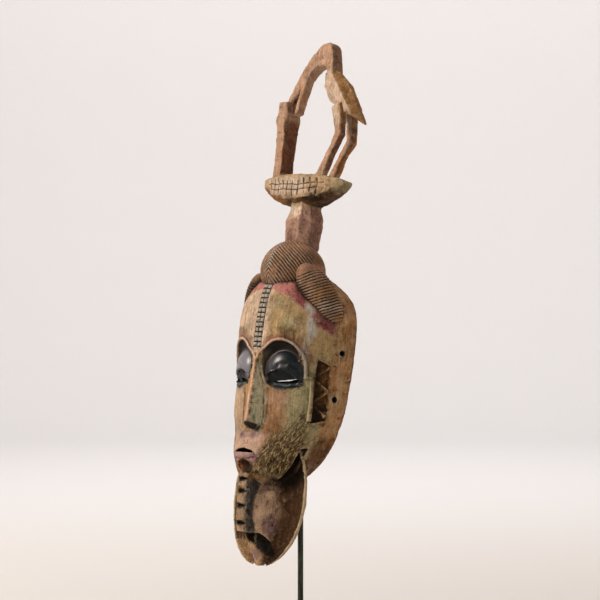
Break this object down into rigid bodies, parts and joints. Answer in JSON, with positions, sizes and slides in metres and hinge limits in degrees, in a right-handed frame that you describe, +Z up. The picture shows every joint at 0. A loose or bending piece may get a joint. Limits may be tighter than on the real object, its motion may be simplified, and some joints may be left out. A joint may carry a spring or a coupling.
{
  "type": "carved face mask on a stand",
  "caption": "Carved wooden face mask with a hollow back, a long beard and a crest where a bird bends its beak to a post, held upright by a rod on a square foot.",
  "frame": {"origin": "middle of the foot's underside, straight below the rod", "axes": "+Z up along the rod, -Y the way the face looks, +X to the mask's own left side"},
  "size_m": [0.152, 0.1651, 0.6446],
  "materials": {
    "carved_wood": "worn paint over aged wood",
    "rod_steel": "dark, with rust specks",
    "foot_paint": "plain matt black"
  },
  "bodies": {
    "root": {"mask": "carved_wood", "stand_rod": "rod_steel", "stand_foot": "foot_paint"}
  },
  "joints": []
}
